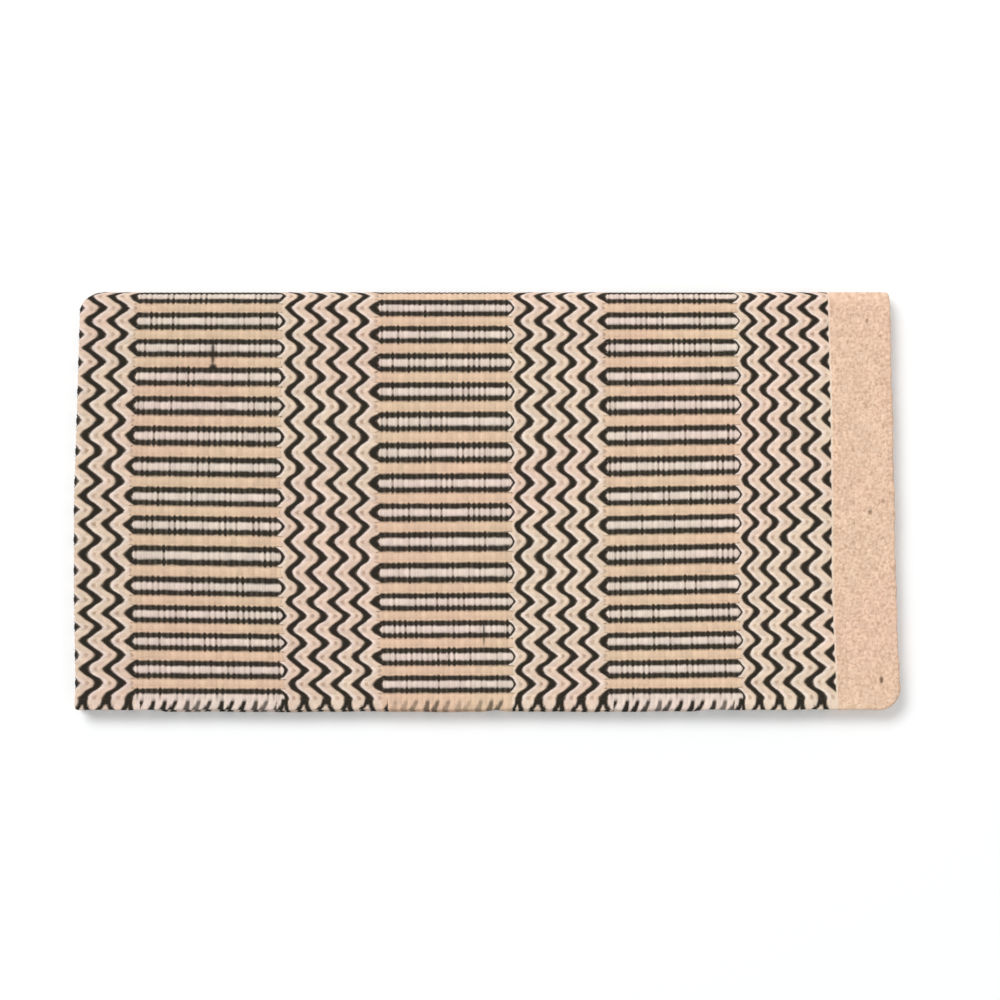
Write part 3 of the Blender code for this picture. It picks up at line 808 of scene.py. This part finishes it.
for layer, (face_radius, back_radius, per_row) in LAYERS.items():
    inward = -1 if layer == "outer" else 1
    flat_rows = np.concatenate([row_steps(band, per_row)[1:] for band in BAND_ROWS])
    bend = np.linspace(math.pi / 2, 0, 8)
    hem = np.linspace(0, math.pi * 0.97, 12)[1:]
    hem_radius = abs(back_radius - face_radius) / 2
    turn_depth = abs(TURN_BACK - face_radius)
    start_x, hem_x = np.full(len(bend), LEAF_START_X), np.full(len(hem), END_X - hem_radius)
    base_x = np.concatenate([start_x, place_of_row(flat_rows), hem_x])
    ahead = np.concatenate([-LENGTH_FOLD_RADIUS * np.sin(bend), 0 * flat_rows, hem_radius * np.sin(hem)])
    depth = np.concatenate([turn_depth * (1 - np.cos(bend)), 0 * flat_rows, hem_radius * (1 - np.cos(hem))])
    past_start = np.concatenate([bend * LENGTH_FOLD_RADIUS / FOLD_ROW_PITCH, 0 * flat_rows, 0 * hem])
    for stretch, (degrees, low_body, high_body, nodes_here) in STRETCHES.items():
        turn = np.radians(np.linspace(degrees, degrees + 60, 13))[:, None]
        nominal = face_radius + inward * depth + 0 * turn
        y = SPINE_Y + nominal * np.sin(turn)
        shift = drawn_in(base_x + 0 * turn, y)
        x = base_x + ahead + shift
        row = row_at(base_x + shift) - past_start
        rib = FLAT_RIBS + turn / math.pi * SPINE_RIBS + 0 * row
        surface = nominal - inward * lift_of(row, rib)
        face = on_the_roll(x, turn, surface)
        behind = np.where(inward * (back_radius - surface) > 0, back_radius, surface + inward * 0.0002)
        back = rim(on_the_roll(x, turn, behind))
        piece = woven_shell(f"{stretch}_spine_{layer}_cloth", face, back, row, rib)
        piece.data.materials.append(zigzag_material)
        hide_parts(*nodes_here)
        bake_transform(piece)


# Selvage cords
# Doubled outer warps, with each pass of weft turned round them on its way back. The turns show
# as slanting cream loops with dark yarn between them, and as plain tan in the border.

CORD_RADIUS = CLOTH / 2
SELVAGE_Y = NEAR_Y + CORD_RADIUS
CORDS_MEET_X = END_X - WOVEN_CORNER_RADIUS - CLOTH
# How far the lower leaves' selvage sticks out from under the upper ones', along the blanket.
PEEPING = (
    (-0.335, 0.0), (-0.320, 0.0024), (-0.005, 0.0022), (0.008, 0.0004),
    (0.022, 0.0024), (0.205, 0.0020), (0.222, 0.0),
)


def cord_section(reach):
    """A cord's outline: half round outside, and square where it tucks into the cloth.

    Gives for each point its way into the cloth, its height over the cord's middle, the share of
    the half turn it has made, and how much the cord's relief lifts it there. The second point
    and the last but one lie on the cloth's edge, which is at reach, and the first and last are
    inside the cloth.
    """
    arc = np.linspace(0, math.pi, 11)
    inward = np.concatenate([[reach + 0.0010, reach], -CORD_RADIUS * np.sin(arc), [reach, reach + 0.0010]])
    height = CORD_RADIUS * np.concatenate([[0.5, 1.0], np.cos(arc), [-1.0, -0.5]])
    share = np.concatenate([[0, 0], arc / math.pi, [1, 1]])
    lifted = np.concatenate([[0, 1], np.clip(1.5 - 1.5 * arc / math.pi, 0, 1), [0, 0]])
    return inward, height, share, lifted


selvage_material = wool_cloth("selvage_cord")
inward, height, share, lifted = cord_section(LEAF_START_Y - SELVAGE_Y)
for pair, (middle, body) in PAIRS.items():
    flat_rows = np.linspace(row_at(CORDS_MEET_X), FIRST_ROW, 860)
    run, out = hairpin(middle, place_of_row(flat_rows)[:-1], 25)
    bend = np.linspace(0, math.pi, 25)
    bend_rows = FIRST_ROW - LENGTH_FOLD_RADIUS * np.minimum(bend, math.pi - bend) / FOLD_ROW_PITCH
    rows = np.concatenate([flat_rows[:-1], bend_rows, flat_rows[-2::-1]])
    row = np.broadcast_to(rows[:, None], (len(rows), len(share)))
    round_the_side = -(inward[1] + math.pi * CORD_RADIUS * share) / WARP_PITCH
    on_the_face = np.minimum(inward - inward[1], 0) / WARP_PITCH
    rib = np.broadcast_to(np.where(share > 0, round_the_side, on_the_face), row.shape)
    lift = lift_of(row, rib) * lifted
    side = np.where(share * (1 - share) > 0, 1.0, 0.0)
    wander = 0.0003 * np.sin(0.21 * row) + 0.0002 * np.sin(0.67 * row + 1)
    if pair == "lower":
        wander = wander + np.interp(run[:, 0], *np.transpose(PEEPING))[:, None]
    places = np.stack(
        [
            run[:, :1] + out[:, :1] * (height + lift * np.cos(math.pi * share)),
            SELVAGE_Y + inward - lift * np.sin(math.pi * share) - wander * side,
            run[:, 1:] + out[:, 1:] * (height + lift * np.cos(math.pi * share)),
        ],
        -1,
    )
    places = loosened(places)
    fields = fields_of(row, rib, places)
    cord = ring_tube(f"{pair}_selvage_loops", places, fields, creases=(1, len(share) - 2))
    cord.data.materials.append(selvage_material)
    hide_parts(f"{pair}_selvage_cord")
    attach(cord, body)


# End cords
# Two strands of tan weft twined round the warps' ends, which are darned back into the cloth.
# Each runs across a leaf's woven end and turns through the corner to meet the selvage.

end_material = wool_cloth("end_cord", tan_only=True)
inward, height, share, lifted = cord_section(CORD_RADIUS + 0.0004)
for leaf, level in LEAF_LEVELS.items():
    corner = np.linspace(0, math.pi / 2, 15)
    bend_radius = WOVEN_CORNER_RADIUS - CORD_RADIUS
    bend_x, bend_y = END_X - WOVEN_CORNER_RADIUS, NEAR_Y + WOVEN_CORNER_RADIUS
    straight_y = np.linspace(SPINE_Y, bend_y, 240)[:-1]
    straight_x = np.full(len(straight_y), END_X - CORD_RADIUS)
    corner_x, corner_y = bend_x + bend_radius * np.cos(corner), bend_y - bend_radius * np.sin(corner)
    run_x = np.concatenate([straight_x, corner_x, [CORDS_MEET_X + 0.0002]])
    run_y = np.concatenate([straight_y, corner_y, [SELVAGE_Y]])
    into_x, into_y = np.gradient(run_y), -np.gradient(run_x)
    size = np.hypot(into_x, into_y)
    into_x, into_y = (into_x / size)[:, None], (into_y / size)[:, None]
    along = np.concatenate([[0], np.cumsum(np.hypot(np.diff(run_x), np.diff(run_y)))])[:, None]
    twist = along / WARP_PITCH + share
    strand = 0.0005 * np.abs(np.sin(math.pi * twist)) ** 0.6
    relief = (strand - 0.0003) * np.clip(lifted, 0, 1) * (inward <= 0)
    wander = 0.0004 * np.sin(260 * run_y) + 0.0004 * np.sin(71 * run_y + 2)
    wander = (wander * np.clip((0.19 - run_y) * 50, 0, 1))[:, None] * (inward < 0)
    shift = inward - (relief + wander) * np.sin(math.pi * share)
    places = np.stack(
        [
            run_x[:, None] + into_x * shift,
            run_y[:, None] + into_y * shift,
            level + CORD_RADIUS + height + relief * np.cos(math.pi * share),
        ],
        -1,
    )
    fields = {
        "weave": np.stack([145 + 0 * twist, along / WARP_PITCH + 0 * share, 0 * twist], -1),
        "thread": np.stack([twist, 0 * twist, -9 + 0 * twist], -1),
    }
    cord = ring_tube(f"{leaf}_leaf_end_twining", loosened(places), fields, creases=(1, len(share) - 2))
    cord.data.materials.append(end_material)
    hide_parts(f"{leaf}_leaf_end_cord")
    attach(cord, BODY_OF_LEAF[leaf])


# Studio
# A pale floor, a big soft lamp behind and to the left, a weak one at the right, and the camera
# almost straight above.

FLOOR_Z = -0.0006
floor_mesh = bpy.data.meshes.new("floor")
floor_corners = [(x, y, FLOOR_Z) for x, y in ((-2, -2), (2, -2), (2, 2), (-2, 2))]
floor_mesh.from_pydata(floor_corners, [], [(0, 1, 2, 3)])
floor = bpy.data.objects.new("floor", floor_mesh)
bpy.context.scene.collection.objects.link(floor)
floor_paint = bpy.data.materials.new("floor_paint")
floor_paint.use_nodes = True
floor_shader = floor_paint.node_tree.nodes["Principled BSDF"]
floor_shader.inputs["Base Color"].default_value = (0.885, 0.9, 0.905, 1)
floor_shader.inputs["Roughness"].default_value = 0.9
floor_shader.inputs["Emission Color"].default_value = (1, 1, 1, 1)
light_path = floor_paint.node_tree.nodes.new("ShaderNodeLightPath")
glow = floor_paint.node_tree.nodes.new("ShaderNodeMath")
glow.operation = "MULTIPLY"
glow.inputs[1].default_value = 0.10
floor_paint.node_tree.links.new(light_path.outputs["Is Camera Ray"], glow.inputs[0])
floor_paint.node_tree.links.new(glow.outputs[0], floor_shader.inputs["Emission Strength"])
floor_mesh.materials.append(floor_paint)

world = bpy.data.worlds.new("studio")
bpy.context.scene.world = world
world.use_nodes = True
background = world.node_tree.nodes["Background"]
background.inputs["Color"].default_value = (1, 1, 1, 1)
world_path = world.node_tree.nodes.new("ShaderNodeLightPath")
brighter = world.node_tree.nodes.new("ShaderNodeMath")
brighter.operation = "MULTIPLY_ADD"
brighter.inputs[1].default_value, brighter.inputs[2].default_value = 0.6, 0.53
world.node_tree.links.new(world_path.outputs["Is Camera Ray"], brighter.inputs[0])
world.node_tree.links.new(brighter.outputs[0], background.inputs["Strength"])

lamps = {"soft_lamp": ((-3.4, 3.8, 6.8), (4.5, 3.45), 465), "weak_lamp": ((2.3, -0.5, 2.2), (1.5, 1.5), 6)}
for name, (place, size, power) in lamps.items():
    lamp_data = bpy.data.lights.new(name, "AREA")
    lamp_data.shape = "RECTANGLE"
    lamp_data.size, lamp_data.size_y = size
    lamp_data.energy = power
    lamp = bpy.data.objects.new(name, lamp_data)
    lamp.location = place
    lamp.rotation_euler = (-lamp.location).to_track_quat("-Z", "Y").to_euler()
    bpy.context.scene.collection.objects.link(lamp)

camera_data = bpy.data.cameras.new("camera")
camera_data.sensor_width = 36
camera_data.lens = 65.2
camera = bpy.data.objects.new("camera", camera_data)
tilt = math.radians(5)
distance = 1.8
aim = Vector((0.0139, 0, 0.0236))
camera.location = aim + Vector((0, -math.sin(tilt), math.cos(tilt))) * distance
camera.rotation_euler = (tilt, 0, 0)
bpy.context.scene.collection.objects.link(camera)
bpy.context.scene.camera = camera
bpy.context.scene.view_settings.view_transform = "Standard"
